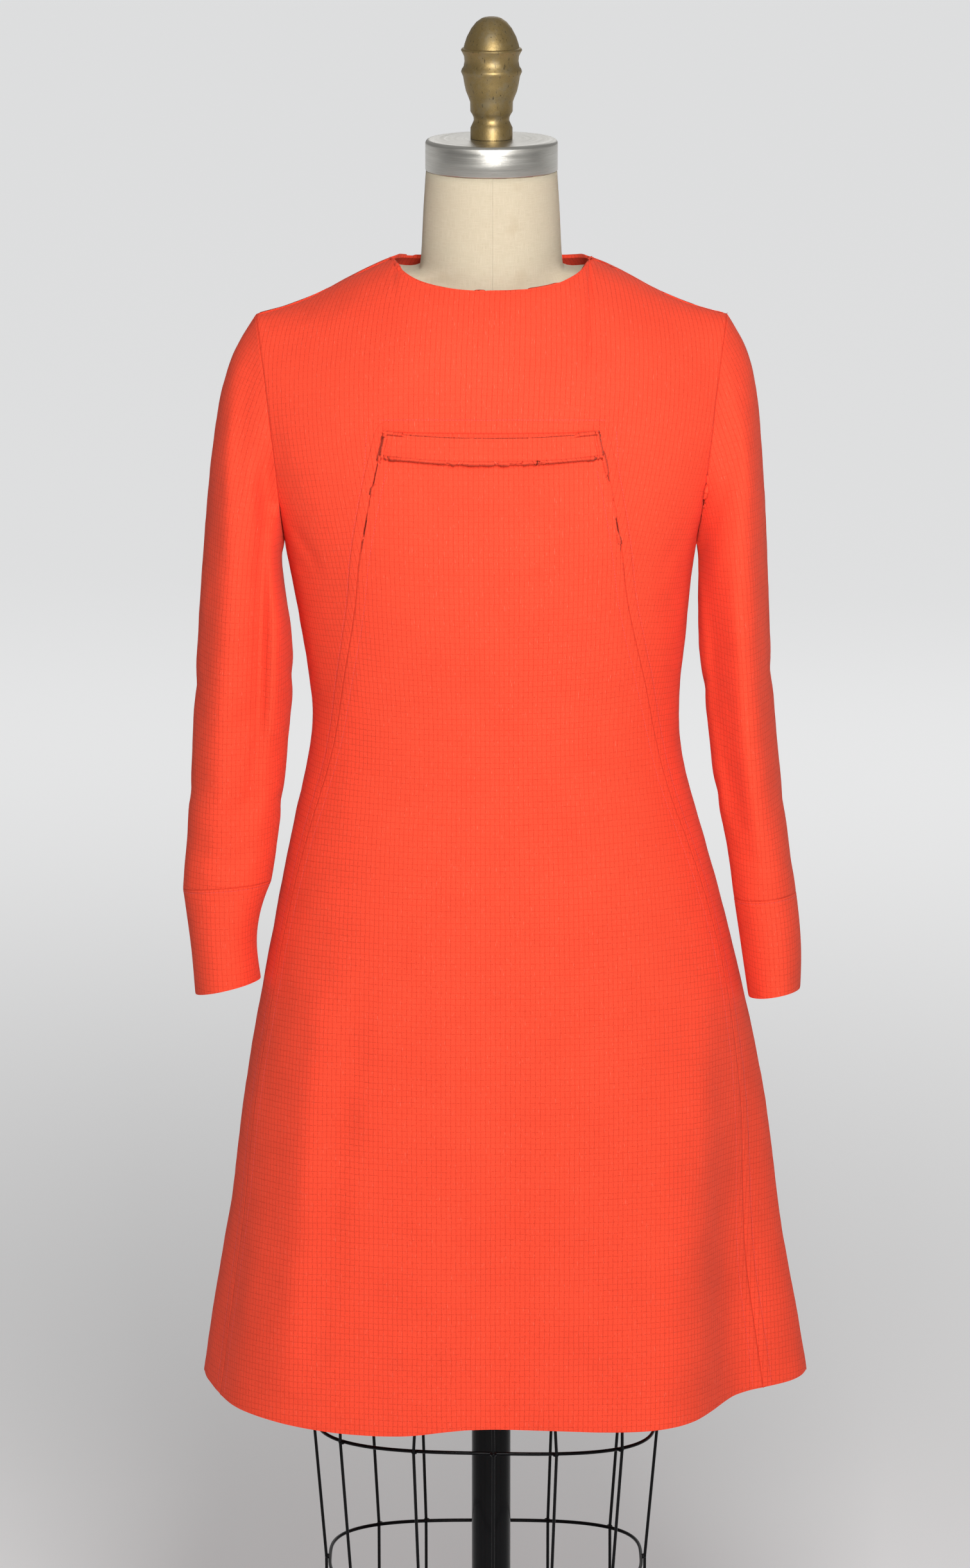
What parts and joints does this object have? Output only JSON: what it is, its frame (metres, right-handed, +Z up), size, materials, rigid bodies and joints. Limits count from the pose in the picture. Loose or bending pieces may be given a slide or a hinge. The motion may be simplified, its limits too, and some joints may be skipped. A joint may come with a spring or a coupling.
{
  "type": "shift dress on a dress form stand",
  "caption": "Long-sleeved A-line shift dress with a round neck, princess seams, chest band and straight cuffs, worn by a limbless dress form on a pole stand with a wire cage and round base.",
  "frame": {"origin": "on the floor, at the middle of the base's underside, under the pole's axis", "axes": "+Z up along the pole; the dress faces -Y; +X is towards the wearer's left"},
  "size_m": [0.5469, 0.48, 1.6621],
  "materials": {
    "wool_crepe": "matt coral-red wool crepe with a small woven grid",
    "zip_tape": "woven tape with moulded teeth",
    "nickel": "satin nickel plate",
    "linen": "plain woven natural linen",
    "brushed_steel": "brushed round the axis",
    "aged_brass": "turned, slightly aged and scratched",
    "black_gloss": "gloss black paint"
  },
  "bodies": {
    "root": {"front_centre": "wool_crepe", "front_yoke": "wool_crepe", "back_left": "wool_crepe", "back_right": "wool_crepe", "sleeve_left": "wool_crepe", "sleeve_right": "wool_crepe", "cuff_left": "wool_crepe", "cuff_right": "wool_crepe", "chest_band": "wool_crepe", "zip_tape": "zip_tape", "zip_slider": "nickel", "form_torso": "linen", "neck_cap": "brushed_steel", "finial": "aged_brass", "pole": "black_gloss", "base": "black_gloss", "cage_ring_1": "black_gloss", "cage_ring_2": "black_gloss", "cage_ring_3": "black_gloss", "cage_wire_1": "black_gloss", "cage_wire_2": "black_gloss", "cage_wire_3": "black_gloss", "cage_wire_4": "black_gloss", "cage_wire_5": "black_gloss", "cage_wire_6": "black_gloss", "cage_wire_7": "black_gloss", "cage_wire_8": "black_gloss", "cage_wire_9": "black_gloss"},
    "zip_pull": {"zip_pull": "nickel"}
  },
  "joints": [
    {"name": "zip_pull_swing", "type": "hinge", "parent": "root", "child": "zip_pull", "pos_m": [0, 0.08104, 1.44397], "axis": [1, 0, 0], "range_deg": [0, 150]}
  ]
}
